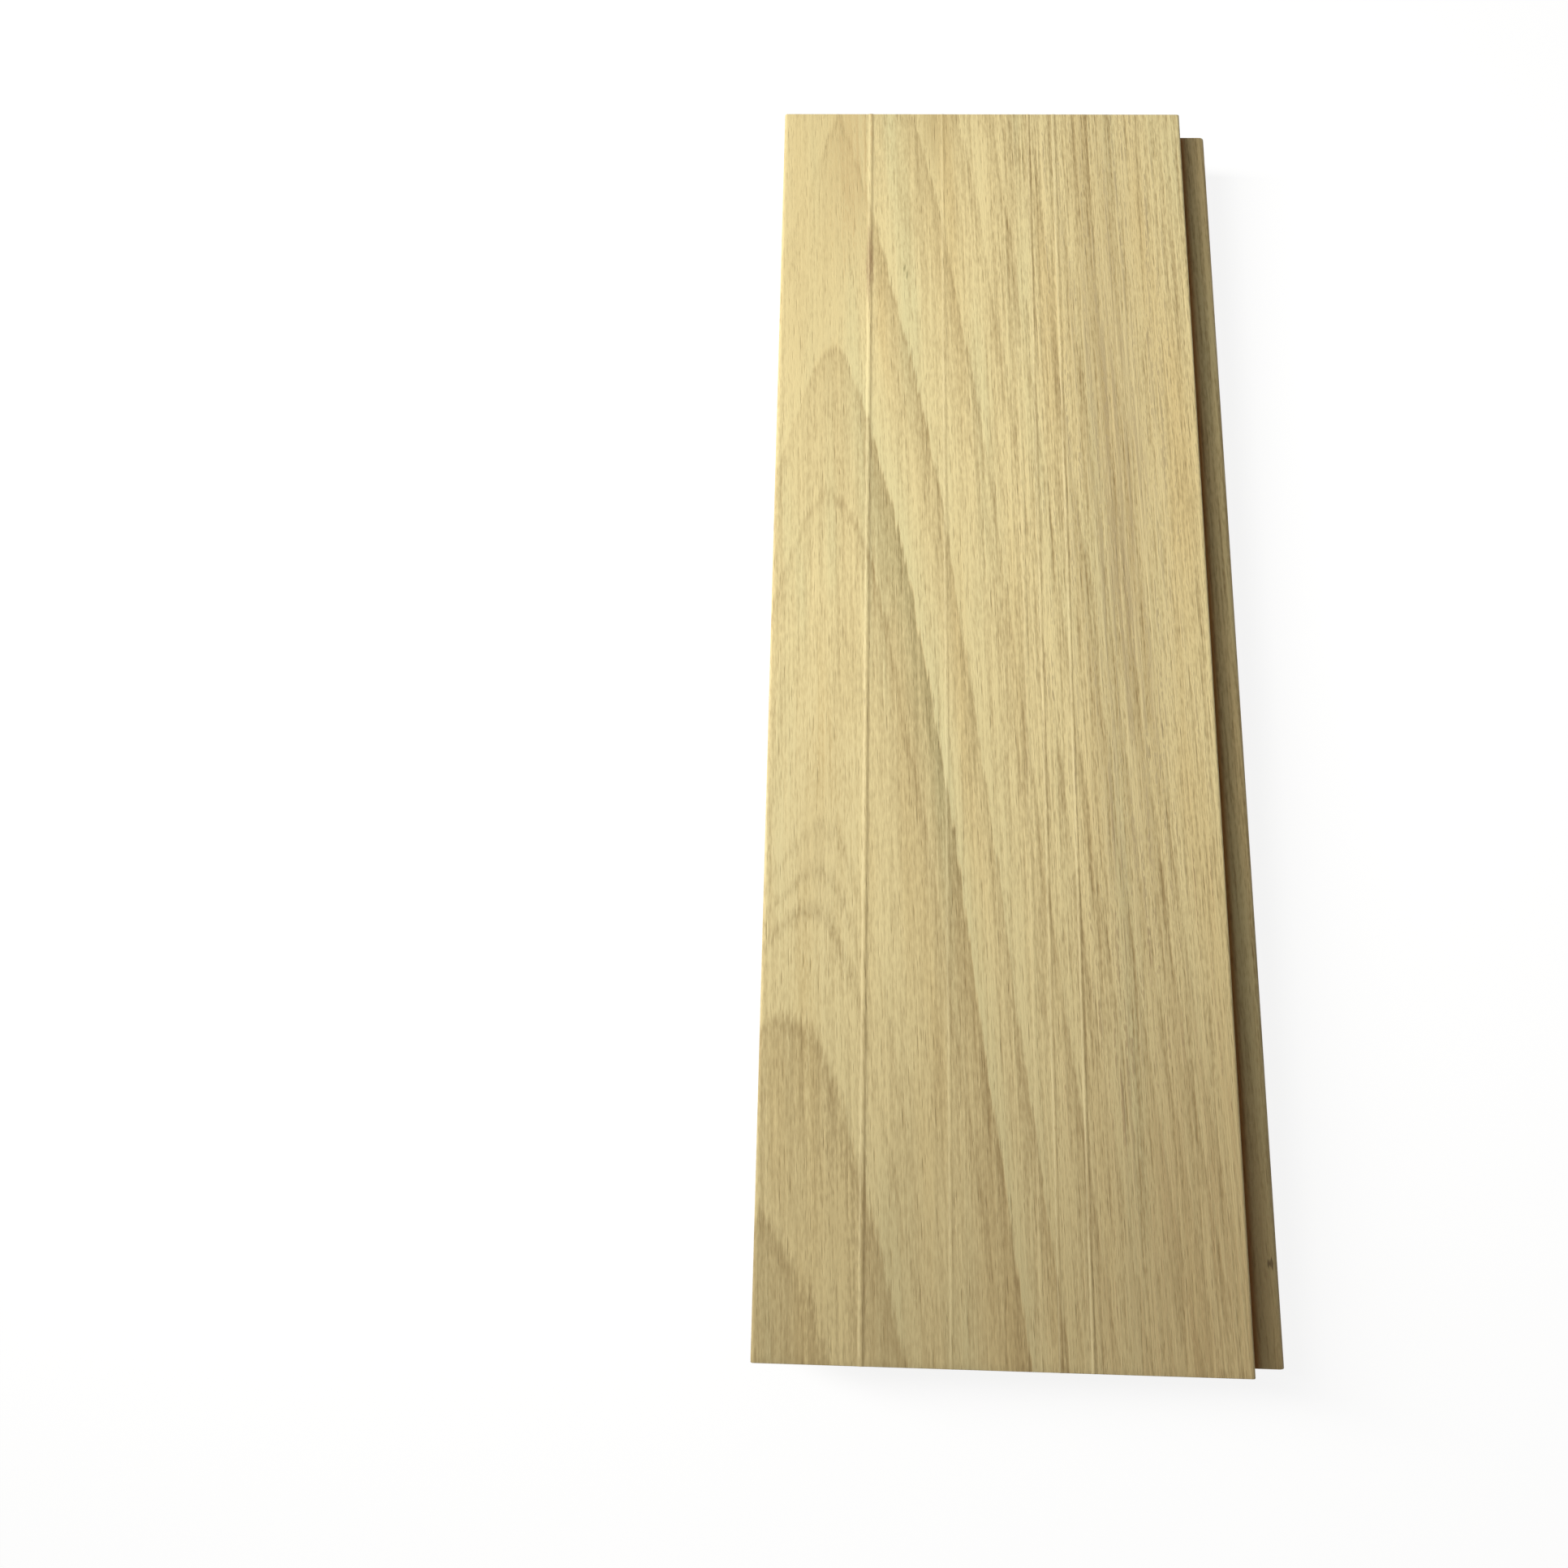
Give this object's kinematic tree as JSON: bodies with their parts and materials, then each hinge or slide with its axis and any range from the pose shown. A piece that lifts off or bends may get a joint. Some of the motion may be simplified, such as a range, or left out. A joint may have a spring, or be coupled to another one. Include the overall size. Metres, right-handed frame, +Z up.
{
  "type": "tongue and groove hardwood floorboard",
  "caption": "Short solid hardwood floorboard with a tongue along one edge, a matching groove along the other, eased face arrises, square-cut ends and a channelled underside.",
  "frame": {"origin": "on the underside, below the middle of the face and halfway along the board", "axes": "+X across the board towards its tongue, +Y along the grain, +Z up out of the face"},
  "size_m": [0.098, 0.265, 0.019],
  "materials": {
    "hardwood": "planed, unvarnished, yellow-brown with olive growth bands"
  },
  "bodies": {
    "root": {"floorboard": "hardwood"}
  },
  "joints": []
}
